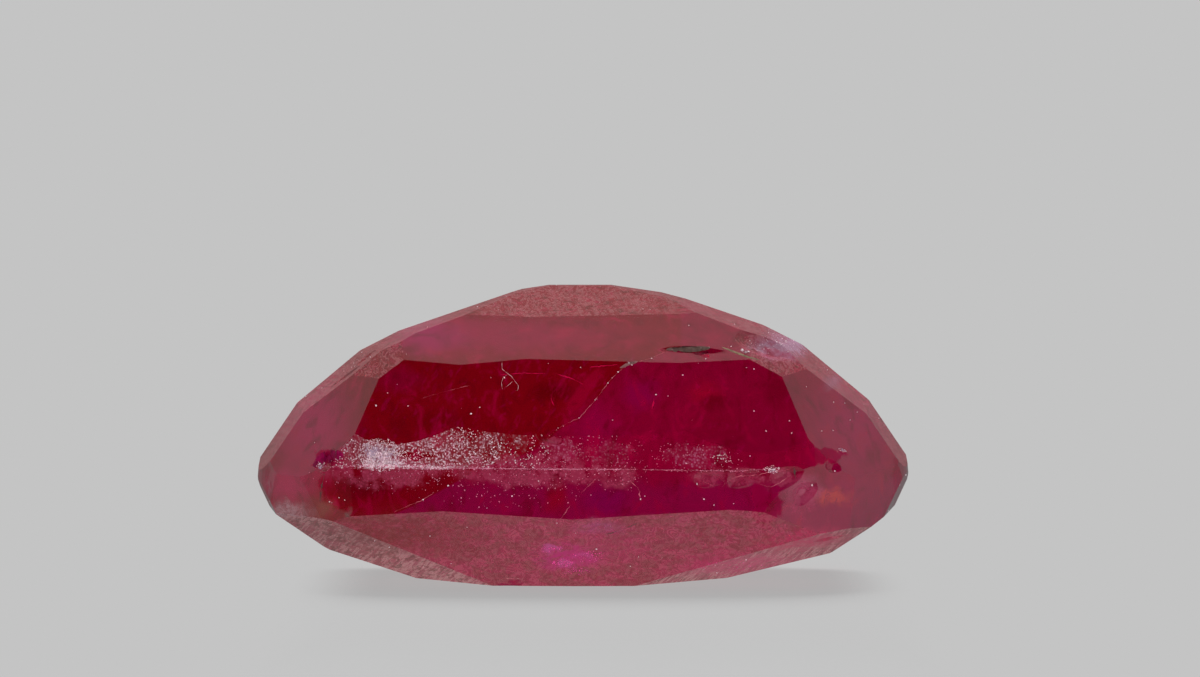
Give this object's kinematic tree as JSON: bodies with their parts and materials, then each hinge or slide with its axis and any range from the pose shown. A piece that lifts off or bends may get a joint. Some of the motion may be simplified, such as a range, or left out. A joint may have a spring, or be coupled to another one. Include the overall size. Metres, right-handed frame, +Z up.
{
  "type": "faceted ruby gemstone",
  "caption": "Cushion-shaped red gemstone with hand-cut flat facets, a frosted girdle and chipped edges, resting on its broad flat face.",
  "frame": {"origin": "middle of the outline, on the flat face that the stone rests on", "axes": "+X along the stone's length, +Y from its front to its back, +Z up from the resting face"},
  "size_m": [0.015, 0.0108, 0.0068],
  "materials": {
    "ruby": "polished facets with a sugary frosted girdle"
  },
  "bodies": {
    "root": {"ruby": "ruby"}
  },
  "joints": []
}
